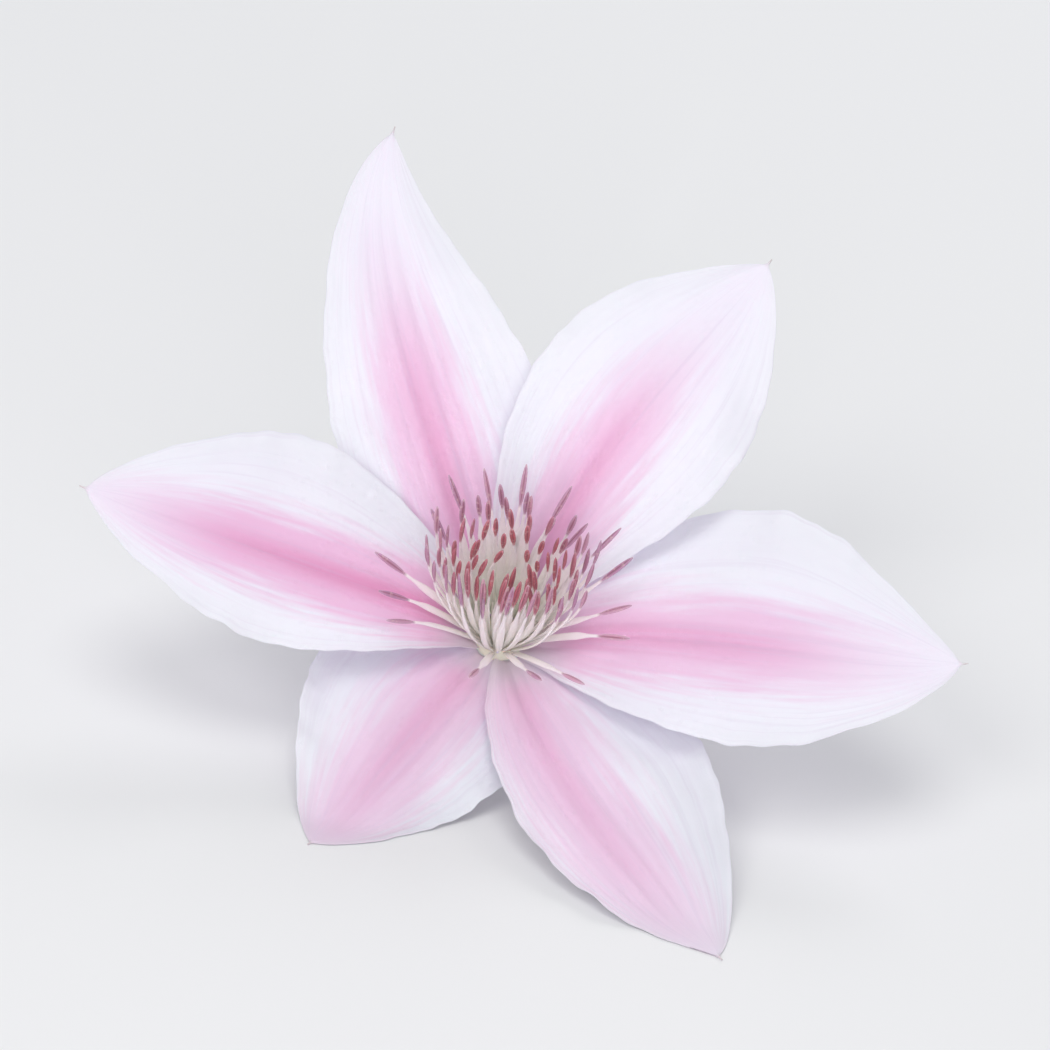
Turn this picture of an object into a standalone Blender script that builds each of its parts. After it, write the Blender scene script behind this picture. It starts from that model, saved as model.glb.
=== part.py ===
"""A clematis flower, picked with its stalk and laid down on a surface.

The bent flower stalk lies on the surface behind the flower, the two lowest tepals reach the surface in
front, and the face of the flower points up and forwards, towards -Y. Six tepals stand round a small
dome, the receptacle, which carries the stamens on its side and the pistils on its top.

The flower is designed in a frame of its own, with X to its right, Y up its face and Z straight out of
it. face_axes and face_middle say where that frame lies in the world.
"""

import math

import bmesh
import bpy
import numpy as np
from mathutils import Matrix, Vector

MM = 0.001

# How the flower lies. Its face looks up at this angle, on a stalk that bends under it and then runs
# back along the surface, sweeping a little to one side.
FACE_ELEVATION = math.radians(60.0)
FACE_MIDDLE_X = -2.45 * MM
FACE_MIDDLE_Y = -5.57 * MM
STALK_RADIUS = 1.25 * MM
STALK_NECK = 6.0 * MM
STALK_BEND_RADIUS = 14.7 * MM
STALK_LYING = 50.0 * MM
STALK_SWEEP_RADIUS = 130.0 * MM
STALK_SIDES = 14
CUT_SLANT = math.radians(40.0)

# The receptacle: a dome in front of the plane where the tepals join it, and a cup behind.
RECEPTACLE_RADIUS = 4.0 * MM
DOME_TOP_RADIUS = 1.9 * MM
DOME_HEIGHT = 4.2 * MM
CUP_DEPTH = 3.2 * MM
PIECE_GAP = 0.3 * MM

# The tepals.
TEPAL_THICKNESS = 0.42 * MM
TEPAL_BASE_RADIUS = 4.4 * MM
TEPAL_BASE_HALF_WIDTH = 1.8 * MM
TEPAL_TIP_HALF_WIDTH = 0.2 * MM
TEPAL_STEPS_ALONG = 20
TEPAL_STEPS_ACROSS = 8
OUTLINE_FULLNESS = 0.8
BASE_NARROWING = 8
MARGIN_FALL = 0.10
RIPPLE = 1.8 * MM
RIPPLE_WAVES = 11.0
LIFT_ONSET = 6.5
PRESS_SOFTNESS = 0.6 * MM

# One row for each tepal. Angles in degrees and lengths in millimetres:
#   clock, turn, hook  heading of its middle line round the face, clockwise from the top of the flower:
#                      at the base, how far it turns by the tip, and a further turn near the tip
#   length, half       length of the middle line, and largest half width
#   fullness           above 1 the tepal is widest nearer its tip
#   uneven             how much wider its clockwise half is, and how much narrower the other
#   base_rise, tip_rise  slope of the middle line above the plane of the face
#   cup                how far its margins curve up near the base, over its half width
#   lift               how far it stands off the tepals under it, near the base
#   twist, phase       turn about its own line, and where the ripples of the margin start
FIELDS = (
    "name clock turn hook length half fullness uneven base_rise tip_rise cup lift twist phase"
).split()
ROWS = (
    ("tepal_top", -30.0, 0.0, 42.0, 80.7, 16.6, 0.65, 0.11, 30.0, 11.0, 0.00, 0.0, 7.0, 0.3),
    ("tepal_upper_right", 15.0, 36.5, -19.0, 69.5, 17.4, 1.16, 0.01, 35.0, 17.0, 0.30, 1.2, -6.5, 1.9),
    ("tepal_right", 91.0, 10.5, -25.0, 69.8, 20.7, 1.01, -0.20, 29.0, 3.0, 0.14, 1.6, 4.5, 3.1),
    ("tepal_lower_right", 166.0, -54.0, 28.0, 66.6, 15.3, 0.96, -0.41, 27.0, -7.0, 0.07, 1.4, 6.0, 4.4),
    ("tepal_lower_left", 205.0, 2.0, 4.0, 47.6, 17.4, 0.65, 0.11, 25.0, -11.0, 0.03, 0.0, 4.0, 5.2),
    ("tepal_left", 267.0, 11.0, -3.0, 66.5, 17.3, 1.09, 0.18, 31.0, 12.0, 0.26, 3.4, -0.5, 0.9),
)
# The tepals are seated evenly round the receptacle, starting with the top one.
TEPALS = tuple(dict(zip(FIELDS, row), seat=60 * place - 30) for place, row in enumerate(ROWS))

# The stamens, from the lowest and outermost to the highest and innermost. Each stands a golden angle
# round from the one before.
STAMEN_COUNT = 52
STAMEN_STEPS = 9
STAMEN_SIDES = 6
LOWEST_STAMEN = 1.3 * MM
GOLDEN_ANGLE = math.radians(137.508)
OUTER_STAMEN_LENGTH = 24.0 * MM
INNER_STAMEN_LENGTH = 19.0 * MM

# The first ones splay outwards at this rise in degrees, more at the bottom of the flower.
SPLAYED_STAMENS = 10
SPLAYED_RISE = 47.0
SPLAYED_RISE_CHANGE = 4.0
RISE_SCATTER = 3.0
SPLAYED_BOW = -0.6 * MM

# The others stand in a boss: their tips fill an oval, which leans up the face, and they bow outwards.
STANDING_TIP_RADIUS = 14.0 * MM
BOSS_FLATNESS = 0.72
BOSS_FLATNESS_CHANGE = 0.13
OUTER_LEAN = 4.5 * MM
INNER_LEAN = 2.0 * MM
OUTER_BOW = 2.6 * MM
INNER_BOW = 1.5 * MM

# The shape of one stamen.
FILAMENT_WIDTH = 0.85 * MM
FILAMENT_DEPTH = 0.5 * MM
FILAMENT_SWELL = 0.55
FILAMENT_NARROWING = 0.35
ANTHER_WIDTH = 1.05 * MM
ANTHER_DEPTH = 0.85 * MM
ANTHER_TIP = 0.3 * MM
ANTHER_SHARE = 0.27

# The pistils.
PISTIL_HEAD_RADIUS = 1.7 * MM
PISTIL_HEAD_FLATNESS = 0.35
STYLE_INSET = 0.12 * MM
STYLE_LENGTH = 8.0 * MM
STYLE_STEPS = 4
STYLE_LEAN = 0.16
STYLE_NARROWING = 0.8


def face_axes():
    """The flower's right, up and out axes in the world, as the columns of a matrix."""
    sine = math.sin(FACE_ELEVATION)
    cosine = math.cos(FACE_ELEVATION)
    return np.array(((1, 0, 0), (0, sine, -cosine), (0, cosine, sine)), float)


def face_middle():
    """The middle of the plane that the tepals join, high enough for the bent stalk under it."""
    neck_rise = STALK_NECK * math.sin(FACE_ELEVATION)
    bend_rise = STALK_BEND_RADIUS * (1 - math.cos(FACE_ELEVATION))
    return np.array((FACE_MIDDLE_X, FACE_MIDDLE_Y, neck_rise + bend_rise + STALK_RADIUS))


def unit(vectors):
    return vectors / np.linalg.norm(vectors, axis=-1, keepdims=True)


def material(name, colour, roughness):
    made = bpy.data.materials.new(name)
    made.use_nodes = True
    shader = made.node_tree.nodes["Principled BSDF"]
    shader.inputs["Base Color"].default_value = (*colour, 1.0)
    shader.inputs["Roughness"].default_value = roughness
    shader.inputs["Metallic"].default_value = 0.0
    return made


def add_object(name, points, faces, finish, parent=None):
    """A smooth-shaded mesh object in the scene, with its faces pointing out."""
    mesh = bpy.data.meshes.new(name)
    mesh.from_pydata([tuple(point) for point in points], [], faces)
    work = bmesh.new()
    work.from_mesh(mesh)
    bmesh.ops.recalc_face_normals(work, faces=work.faces)
    work.to_mesh(mesh)
    work.free()
    mesh.shade_smooth()
    mesh.set_sharp_from_angle(angle=math.radians(50))
    mesh.materials.append(finish)
    made = bpy.data.objects.new(name, mesh)
    made.parent = parent
    bpy.context.scene.collection.objects.link(made)
    return made


def add_face_frame():
    """An empty at the middle of the flower's face, turned as the face is."""
    frame = bpy.data.objects.new("face_frame", None)
    frame.matrix_world = Matrix.Translation(face_middle()) @ Matrix(face_axes()).to_4x4()
    bpy.context.scene.collection.objects.link(frame)
    return frame


def swept(line, widths, depths, sides, away):
    """Rings of an oval section along a line. The section's flatter sides face along away."""
    line = np.asarray(line)
    tangent = unit(np.gradient(line, axis=0))
    wide = unit(np.cross(tangent, away))
    deep = np.cross(wide, tangent)
    turns = np.arange(sides) * 2 * math.pi / sides
    rings = [
        line[k]
        + np.outer(np.cos(turns), wide[k]) * widths[k] / 2
        + np.outer(np.sin(turns), deep[k]) * depths[k] / 2
        for k in range(len(line))
    ]
    return np.vstack(rings)


def ring_faces(rings, sides):
    """Quads between rings of points that follow one another, and a cap at each end."""
    faces = [tuple(range(sides)), tuple(range((rings - 1) * sides, rings * sides))]
    for ring in range(rings - 1):
        low = ring * sides
        for side in range(sides):
            after = (side + 1) % sides
            faces.append((low + side, low + after, low + sides + after, low + sides + side))
    return faces


def tepal_outline(along, fullness):
    """Half width over the largest half width: narrow at the base, widest near half way, pointed."""
    return np.sin(math.pi * along**fullness) ** OUTLINE_FULLNESS


def tepal_line(tepal, along):
    """The middle line of a tepal in the flower's frame, and its direction, at shares of its length."""
    steps = np.linspace(0, 1, 101)
    heading = np.radians(tepal["clock"] + tepal["turn"] * steps + tepal["hook"] * steps**4)
    rise = np.radians(tepal["base_rise"] + (tepal["tip_rise"] - tepal["base_rise"]) * steps)
    tangent = np.stack(
        (np.sin(heading) * np.cos(rise), np.cos(heading) * np.cos(rise), np.sin(rise)), axis=-1
    )
    stride = tepal["length"] * MM / (len(steps) - 1)
    walked = np.cumsum((tangent[1:] + tangent[:-1]) / 2, axis=0) * stride
    seat = math.radians(tepal["seat"])
    start = np.array((math.sin(seat), math.cos(seat), 0)) * TEPAL_BASE_RADIUS
    line = np.vstack((start, start + walked))
    line = np.stack([np.interp(along, steps, line[:, k]) for k in range(3)], axis=-1)
    tangent = np.stack([np.interp(along, steps, tangent[:, k]) for k in range(3)], axis=-1)
    return line, unit(tangent)


def tepal_middle(tepal, along, across):
    """Points on the middle surface of a tepal, in the world.

    along runs from 0 at the base to 1 at the tip, and across from -1 to 1, clockwise.
    """
    line, tangent = tepal_line(tepal, along)
    side = unit(np.cross(tangent, (0.0, 0.0, 1.0)))
    normal = np.cross(side, tangent)

    outline = tepal_outline(along, tepal["fullness"])
    width = TEPAL_TIP_HALF_WIDTH + tepal["half"] * MM * outline
    width = width + TEPAL_BASE_HALF_WIDTH * (1 - along) ** BASE_NARROWING
    reach = width * (across + tepal["uneven"] * across**2)

    cup = tepal["cup"] * (1 - along) ** 2
    ripple = np.sin(along * RIPPLE_WAVES + tepal["phase"] + 1.5 * across)
    bend = width * (cup * np.abs(across) ** 1.3 - MARGIN_FALL * along * across**2)
    bend = bend + RIPPLE * ripple * np.abs(across) ** 3 * outline * along
    bend = bend + tepal["lift"] * MM * (1 - along) ** 1.5 * np.tanh(along * LIFT_ONSET)

    roll = np.radians(tepal["twist"]) * np.sin(math.pi * along)
    sideways = reach * np.cos(roll) - bend * np.sin(roll)
    outwards = reach * np.sin(roll) + bend * np.cos(roll)
    points = line + side * sideways[..., None] + normal * outwards[..., None]
    return pressed(points @ face_axes().T + face_middle())


def pressed(points):
    """Points that would be under the surface, eased up to lie on it, as a soft tepal does."""
    floor = TEPAL_THICKNESS / 2
    above = (points[..., 2] - floor) / PRESS_SOFTNESS
    eased = np.logaddexp(0, above) * PRESS_SOFTNESS + floor
    return np.concatenate((points[..., :2], eased[..., None]), axis=-1)


def tepal_normals(tepal, along, across):
    """Unit normals of the middle surface, from small steps along and across it."""
    small = 0.002
    ahead = tepal_middle(tepal, np.minimum(along + small, 1), across)
    behind = tepal_middle(tepal, np.maximum(along - small, 0), across)
    right = tepal_middle(tepal, along, across + small)
    left = tepal_middle(tepal, along, across - small)
    return unit(np.cross(right - left, ahead - behind))


def build_tepal(tepal, finish):
    """A thin closed sheet: the middle surface, thickened equally to both sides.

    It is shaped where it lies, because the two lowest tepals are pressed by the surface.
    """
    rows = TEPAL_STEPS_ALONG + 1
    columns = TEPAL_STEPS_ACROSS + 1
    count = rows * columns
    along, across = np.meshgrid(
        np.linspace(0, 1, rows), np.linspace(-1, 1, columns), indexing="ij"
    )
    middle = tepal_middle(tepal, along, across).reshape(-1, 3)
    half = tepal_normals(tepal, along, across).reshape(-1, 3) * TEPAL_THICKNESS / 2
    faces = []
    for row in range(rows - 1):
        for column in range(columns - 1):
            corner = row * columns + column
            quad = (corner, corner + 1, corner + 1 + columns, corner + columns)
            faces.append(quad)
            faces.append(tuple(count + point for point in reversed(quad)))
    base = list(range(columns))
    clockwise_margin = [row * columns + columns - 1 for row in range(1, rows)]
    tip = [(rows - 1) * columns + column for column in range(columns - 2, -1, -1)]
    other_margin = [row * columns for row in range(rows - 2, 0, -1)]
    rim = base + clockwise_margin + tip + other_margin
    for here, after in zip(rim, rim[1:] + rim[:1]):
        faces.append((here, here + count, after + count, after))
    return add_object(tepal["name"], np.vstack((middle + half, middle - half)), faces, finish)


def stalk_line():
    """The stalk's middle line in the world, from the plane of the tepals' bases to the cut end."""
    axes = face_axes()
    neck = [face_middle() - axes[:, 2] * STALK_NECK * share for share in (0, 1 / 3, 2 / 3, 1)]
    centre = neck[-1] + axes[:, 1] * STALK_BEND_RADIUS
    bend = []
    for share in np.linspace(0, 1, 10)[1:]:
        turned = FACE_ELEVATION * (1 - share)
        outwards = np.array((0, -math.sin(turned), -math.cos(turned)))
        bend.append(centre + outwards * STALK_BEND_RADIUS)
    lying = []
    for share in np.linspace(0, 1, 13)[1:]:
        turned = STALK_LYING / STALK_SWEEP_RADIUS * share
        sideways = STALK_SWEEP_RADIUS * (1 - math.cos(turned))
        backwards = STALK_SWEEP_RADIUS * math.sin(turned)
        lying.append(bend[-1] + np.array((sideways, backwards, 0)))
    return np.array(neck + bend + lying)


def build_stalk(finish):
    """The stalk and the receptacle at its end, which grew as one piece."""
    receptacle = (
        (DOME_HEIGHT, DOME_TOP_RADIUS * 0.6),
        (DOME_HEIGHT - 0.3 * MM, DOME_TOP_RADIUS),
        (DOME_HEIGHT * 0.5, (DOME_TOP_RADIUS + RECEPTACLE_RADIUS) * 0.5),
        (0.5 * MM, RECEPTACLE_RADIUS - 0.3 * MM),
        (-0.4 * MM, RECEPTACLE_RADIUS),
        (-0.35 * CUP_DEPTH, RECEPTACLE_RADIUS * 0.85),
        (-0.7 * CUP_DEPTH, RECEPTACLE_RADIUS * 0.52),
    )
    out = face_axes()[:, 2]
    stalk = stalk_line()[2:]
    line = np.array([face_middle() + out * height for height, _ in receptacle] + list(stalk))
    radii = np.array([radius for _, radius in receptacle] + [STALK_RADIUS] * len(stalk))
    points = swept(line, radii * 2, radii * 2, STALK_SIDES, (1.0, 0.0, 0.0))
    cut = points[-STALK_SIDES:] - line[-1]
    lengthways = unit(line[-1] - line[-2])
    slant = cut[:, 0] * math.tan(CUT_SLANT)
    points[-STALK_SIDES:] = line[-1] + cut + np.outer(slant, lengthways)
    return add_object("stalk", points, ring_faces(len(line), STALK_SIDES), finish)


def stamen_line(number):
    """The middle line of a stamen in the flower's frame, and the way it leans."""
    inner = number / (STAMEN_COUNT - 1)
    clock = number * GOLDEN_ANGLE
    outwards = np.array((math.sin(clock), math.cos(clock), 0.0))
    height = LOWEST_STAMEN + (DOME_HEIGHT - LOWEST_STAMEN - 0.1 * MM) * inner
    dome_radius = RECEPTACLE_RADIUS - (RECEPTACLE_RADIUS - DOME_TOP_RADIUS) * height / DOME_HEIGHT
    radius = dome_radius + PIECE_GAP + 0.3 * MM
    length = OUTER_STAMEN_LENGTH + (INNER_STAMEN_LENGTH - OUTER_STAMEN_LENGTH) * inner
    start = outwards * radius + np.array((0.0, 0.0, height))
    if number < SPLAYED_STAMENS:
        rise = SPLAYED_RISE - SPLAYED_RISE_CHANGE * math.cos(clock)
        rise = math.radians(rise + RISE_SCATTER * math.sin(5.0 * number))
        tip = start + length * (outwards * math.cos(rise) + np.array((0.0, 0.0, math.sin(rise))))
        bow = SPLAYED_BOW
    else:
        standing = (number - SPLAYED_STAMENS) / (STAMEN_COUNT - SPLAYED_STAMENS)
        tip_radius = STANDING_TIP_RADIUS * math.sqrt(1 - standing)
        flatness = BOSS_FLATNESS + BOSS_FLATNESS_CHANGE * math.cos(clock)
        lean = OUTER_LEAN + (INNER_LEAN - OUTER_LEAN) * standing
        tip = tip_radius * outwards * np.array((1.0, flatness, 0.0)) + np.array((0.0, lean, 0.0))
        sideways = np.linalg.norm((tip - start)[:2])
        tip[2] = height + math.sqrt(length**2 - sideways**2)
        bow = OUTER_BOW + (INNER_BOW - OUTER_BOW) * standing
    share = np.linspace(0, 1, STAMEN_STEPS)[:, None]
    return start + (tip - start) * share + outwards * bow * np.sin(math.pi * share), outwards


def build_stamen(number, finish, parent):
    """One stamen: a flat thread, broadest near half way, and the plump anther that it carries."""
    line, outwards = stamen_line(number)
    share = np.linspace(0, 1, STAMEN_STEPS)
    in_anther = np.clip((share - 1 + ANTHER_SHARE) / ANTHER_SHARE, 0, 1)
    plump = np.sin(math.pi * in_anther * 0.9) ** 0.5
    thread = 1 + FILAMENT_SWELL * np.sin(math.pi * share) - FILAMENT_NARROWING * share
    anther_widths = np.maximum(plump * ANTHER_WIDTH, ANTHER_TIP)
    anther_depths = np.maximum(plump * ANTHER_DEPTH, ANTHER_TIP)
    widths = np.where(in_anther > 0, anther_widths, thread * FILAMENT_WIDTH)
    depths = np.where(in_anther > 0, anther_depths, FILAMENT_DEPTH)
    points = swept(line, widths, depths, STAMEN_SIDES, -outwards)
    faces = ring_faces(STAMEN_STEPS, STAMEN_SIDES)
    return add_object(f"stamen_{number + 1:02d}", points, faces, finish, parent)


def build_pistils(finish, parent):
    """The pistils: a small round head of seed cases, each drawn out into a long style."""
    work = bmesh.new()
    bmesh.ops.create_icosphere(work, subdivisions=2, radius=PISTIL_HEAD_RADIUS)
    upper = 0.3 * PISTIL_HEAD_RADIUS
    tops = [face for face in work.faces if face.calc_center_median().z > upper]
    bmesh.ops.inset_individual(work, faces=tops, thickness=STYLE_INSET)
    for step in range(STYLE_STEPS):
        tops = bmesh.ops.extrude_discrete_faces(work, faces=tops)["faces"]
        lean = STYLE_LEAN * (1 - step / STYLE_STEPS) - 0.03
        for face in tops:
            centre = face.calc_center_median()
            uneven = math.sin(7 * centre.x / MM + 3 * centre.y / MM)
            rise = STYLE_LENGTH * (0.85 + 0.15 * uneven) / STYLE_STEPS
            sideways = centre.xy.normalized() * lean * rise
            for vertex in face.verts:
                vertex.co = centre + (vertex.co - centre) * STYLE_NARROWING
                vertex.co += Vector((sideways.x, sideways.y, rise))
    for vertex in work.verts:
        if vertex.co.z < 0:
            vertex.co.z *= PISTIL_HEAD_FLATNESS
    work.verts.index_update()
    points = np.array([vertex.co for vertex in work.verts])
    faces = [tuple(vertex.index for vertex in face.verts) for face in work.faces]
    work.free()
    points[:, 2] += DOME_HEIGHT + PIECE_GAP + PISTIL_HEAD_FLATNESS * PISTIL_HEAD_RADIUS
    return add_object("pistils", points, faces, finish, parent)


def main():
    for obj in list(bpy.data.objects):
        bpy.data.objects.remove(obj)
    petal = material("tepal", (0.87, 0.76, 0.90), 0.55)
    green = material("stalk", (0.30, 0.42, 0.14), 0.6)
    anther = material("stamen", (0.62, 0.38, 0.44), 0.6)
    cream = material("pistil", (0.86, 0.82, 0.62), 0.6)
    build_stalk(green)
    for tepal in TEPALS:
        build_tepal(tepal, petal)
    face_frame = add_face_frame()
    for number in range(STAMEN_COUNT):
        build_stamen(number, anther, face_frame)
    build_pistils(cream, face_frame)


main()
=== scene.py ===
"""Looks of a clematis flower that lies on a pale floor, leaning back on its bent stalk.

The flower is worked out in a frame of its own, with X to its right, Y up its face and Z straight out of
it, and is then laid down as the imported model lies. Lengths are in metres.
"""

import math

import bpy
import numpy as np
from mathutils import Matrix, Vector


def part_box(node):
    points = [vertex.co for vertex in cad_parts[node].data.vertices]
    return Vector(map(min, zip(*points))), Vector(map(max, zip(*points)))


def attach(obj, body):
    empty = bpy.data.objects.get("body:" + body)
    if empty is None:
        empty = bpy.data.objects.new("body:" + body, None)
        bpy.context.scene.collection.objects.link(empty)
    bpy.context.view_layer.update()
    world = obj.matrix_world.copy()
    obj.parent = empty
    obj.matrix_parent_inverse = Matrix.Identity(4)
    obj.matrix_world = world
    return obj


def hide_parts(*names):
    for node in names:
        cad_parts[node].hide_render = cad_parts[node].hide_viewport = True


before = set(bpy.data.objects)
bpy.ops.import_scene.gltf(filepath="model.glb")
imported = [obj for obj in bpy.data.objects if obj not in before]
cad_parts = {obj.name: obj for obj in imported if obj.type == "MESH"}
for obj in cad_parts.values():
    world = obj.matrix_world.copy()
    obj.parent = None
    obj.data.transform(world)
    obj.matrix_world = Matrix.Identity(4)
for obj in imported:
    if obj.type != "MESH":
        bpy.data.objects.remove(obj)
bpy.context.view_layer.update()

MM = 0.001

# How the flower lies, and its receptacle, as in the model.
FACE_ELEVATION = math.radians(60.0)
STALK_RADIUS = 1.25 * MM
STALK_NECK = 6.0 * MM
STALK_BEND_RADIUS = 14.7 * MM
STALK_LYING = 50.0 * MM
STALK_SWEEP_RADIUS = 130.0 * MM
STALK_SIDES = 14
CUT_SLANT = math.radians(40.0)
RECEPTACLE_RADIUS = 4.0 * MM
DOME_TOP_RADIUS = 1.9 * MM
DOME_HEIGHT = 4.2 * MM
CUP_DEPTH = 3.2 * MM
PIECE_GAP = 0.3 * MM

# The tepals, row by row as in the model. Angles in degrees and lengths in millimetres.
TEPAL_THICKNESS = 0.42 * MM
TEPAL_BASE_RADIUS = 4.4 * MM
TEPAL_BASE_HALF_WIDTH = 2.9 * MM
TEPAL_SEAT_SHARE = 0.05
TEPAL_SEAT_INWARDS = 1.1 * MM
TEPAL_TIP_HALF_WIDTH = 0.2 * MM
MARGIN_FALL = 0.10
RIPPLE = 1.8 * MM
RIPPLE_WAVES = 11.0
LIFT_ONSET = 6.5
PRESS_SOFTNESS = 0.6 * MM
OUTLINE_FULLNESS = 0.8
BASE_NARROWING = 8
FIELDS = (
    "name clock turn hook length half fullness uneven base_rise tip_rise cup lift twist phase"
).split()
ROWS = (
    ("tepal_top", -30.0, 0.0, 42.0, 80.7, 16.6, 0.65, 0.11, 30.0, 11.0, 0.00, 0.0, 7.0, 0.3),
    ("tepal_upper_right", 15.0, 36.5, -19.0, 69.5, 17.4, 1.16, 0.01, 35.0, 17.0, 0.30, 1.2, -6.5, 1.9),
    ("tepal_right", 91.0, 10.5, -25.0, 69.8, 20.7, 1.01, -0.20, 29.0, 3.0, 0.14, 1.6, 4.5, 3.1),
    ("tepal_lower_right", 166.0, -54.0, 28.0, 66.6, 15.3, 0.96, -0.41, 27.0, -7.0, 0.07, 1.4, 6.0, 4.4),
    ("tepal_lower_left", 205.0, 2.0, 4.0, 47.6, 17.4, 0.65, 0.11, 25.0, -11.0, 0.03, 0.0, 4.0, 5.2),
    ("tepal_left", 267.0, 11.0, -3.0, 66.5, 17.3, 1.09, 0.18, 31.0, 12.0, 0.26, 3.4, -0.5, 0.9),
)
TEPALS = tuple(dict(zip(FIELDS, row), seat=60 * place - 30) for place, row in enumerate(ROWS))

# Fine shape of the tepals: sheets that are finest near the margin, with a small point at the tip.
SHEET_ROWS = 150
SHEET_COLUMNS = 65
COLUMN_CROWDING = 0.9
POINT_SHARE = 0.018
POINT_NARROWING = 0.8
THICKNESS_MIDDLE = 0.36 * MM
THICKNESS_MARGIN = 0.13 * MM
EDGE_ROUNDING = 0.45 * THICKNESS_MARGIN

# Their relief. A waves value is radians from the base to the tip, or from the middle to the margin.
RIB_DEPTH = 0.75 * MM
RIB_HALF_WIDTH = 0.9 * MM
SIDE_RIB_DEPTH = 0.45 * MM
SIDE_RIB_HALF_WIDTH = 0.8 * MM
SIDE_RIB_PLACE_AT_ENDS = 0.9 * MM
SIDE_RIB_SPREAD = 2.3 * MM
FLUTE_DEPTH = 0.30 * MM
FLUTE_WAVES = 11
VEIN_DEPTH = 0.055 * MM
VEIN_WAVES = 50
CRINKLE = 0.35 * MM
CRINKLE_WAVES = 37
FINE_CRINKLE_SHARE = 0.4
FINE_CRINKLE_WAVES = 71
BUCKLE = 0.9 * MM
BUCKLE_WAVES = 15
EDGE_UNEVENNESS = 0.14 * MM
EDGE_WAVES = 43
FINE_EDGE_SHARE = 0.7
FINE_EDGE_WAVES = 91

# The pink bar of each tepal: where along it the bar has faded, and its width and strength over
# those of a plain bar.
BARS = {
    "tepal_top": (0.86, 0.95, 0.98),
    "tepal_upper_right": (0.88, 0.90, 0.95),
    "tepal_right": (1.0, 1.1, 1.0),
    "tepal_lower_right": (1.25, 1.1, 0.80),
    "tepal_lower_left": (1.35, 1.1, 0.85),
    "tepal_left": (1.08, 0.92, 1.22),
}

# The stamens, as in the model.
STAMEN_COUNT = 52
LOWEST_STAMEN = 1.3 * MM
GOLDEN_ANGLE = math.radians(137.508)
OUTER_STAMEN_LENGTH = 24.0 * MM
INNER_STAMEN_LENGTH = 19.0 * MM
SPLAYED_STAMENS = 10
SPLAYED_RISE = 47.0
SPLAYED_RISE_CHANGE = 4.0
RISE_SCATTER = 3.0
STANDING_TIP_RADIUS = 14.0 * MM
BOSS_FLATNESS = 0.72
BOSS_FLATNESS_CHANGE = 0.13
OUTER_LEAN = 4.5 * MM
INNER_LEAN = 2.0 * MM
SPLAYED_BOW = -0.6 * MM
OUTER_BOW = 2.6 * MM
INNER_BOW = 1.5 * MM

# Their fine shape.
STAMEN_RINGS = 40
STAMEN_SIDES = 16
FILAMENT_WIDTH = 0.9 * MM
FILAMENT_DEPTH = 0.4 * MM
FILAMENT_SWELL = 0.55
FILAMENT_NARROWING = 0.35
FILAMENT_NECK = 0.55
ANTHER_WIDTH = 0.92 * MM
ANTHER_DEPTH = 0.68 * MM
ANTHER_SHARE = 0.27
ANTHER_BLUNTNESS = 0.45
STAMEN_SWAY = 0.8 * MM
STAMEN_TURN = 0.7

# The stamens between them. The lowest are left out at the bottom of the flower.
LENGTH_BETWEEN = 0.90
LENGTH_CHANGE_BETWEEN = 0.08
LOWEST_BETWEEN = -0.3

# The pistils: small seed cases on a round head, each with a long thin style.
STYLE_COUNT = 44
STYLE_LENGTH = 7.8 * MM
STYLE_SWAY = 0.22 * MM
STYLE_RINGS = 12
STYLE_SIDES = 7
PISTIL_HEAD_RADIUS = 1.7 * MM
SEED_CASE_RADIUS = 0.34 * MM
STYLE_FOOT_RADIUS = 0.13 * MM
STYLE_TIP_RADIUS = 0.055 * MM

# The fine stalk. Its ridges grow over the first RIDGE_ONSET points of its line.
FINE_STALK_SIDES = 40
RECEPTACLE_RINGS = 44
RECEPTACLE_SMOOTHINGS = 3
STALK_RIDGES = 6
RIDGE_DEPTH = 0.045
RIDGE_ONSET = 8

# Colours of the tepals.
LILAC_WHITE = (0.860, 0.830, 0.945)
LILAC_CLOUD = (0.815, 0.755, 0.900)
MARGIN_WHITE = (0.87, 0.86, 0.95)
BAR_PINK = (0.820, 0.505, 0.700)
CORE_PINK = (0.720, 0.320, 0.520)
VEIN_MAUVE = (0.66, 0.54, 0.72)
POINT_BROWN = (0.50, 0.40, 0.28)
BACK_WHITE = (0.80, 0.76, 0.88)
BACK_BAR = (0.66, 0.50, 0.60)
BACK_MIDRIB = (0.50, 0.50, 0.30)
BACK_VEIN = (0.62, 0.50, 0.66)

# Colours of the stamens.
THREAD_FOOT = (0.98, 0.97, 0.84)
THREAD_CREAM = (0.99, 0.95, 0.87)
THREAD_PINK = (0.98, 0.86, 0.86)
ANTHER_DARK_MAUVE = (0.32, 0.17, 0.28)
ANTHER_MAUVE = (0.50, 0.28, 0.38)
ANTHER_RED = (0.40, 0.11, 0.14)
# The next colour is painted shade for the grooves between the pollen sacs.
ANTHER_GROOVE_SHADE = (0.16, 0.04, 0.08)
POLLEN = (0.62, 0.46, 0.44)

# Colours of the pistils, the stalk and the floor.
SEED_CASE_GREEN = (0.80, 0.80, 0.56)
STYLE_CREAM = (0.97, 0.94, 0.83)
STIGMA_BUFF = (0.94, 0.84, 0.74)
STYLE_SILK = (0.97, 0.95, 0.88)
STALK_DARK_GREEN = (0.20, 0.30, 0.075)
STALK_GREEN = (0.31, 0.42, 0.13)
STALK_BRONZE = (0.30, 0.16, 0.10)
RECEPTACLE_CREAM = (0.86, 0.85, 0.68)
FLOOR_GREY = (0.84, 0.843, 0.847)
FLOOR_WHITE = (0.86, 0.863, 0.867)

# The camera. The flower fills this share of its square frame.
CAMERA_ELEVATION = math.radians(32.0)
CAMERA_ROLL = math.radians(9.0)
CAMERA_LENS = 120.0
SENSOR_WIDTH = 36.0
FRAME_FILL = 0.84

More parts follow.
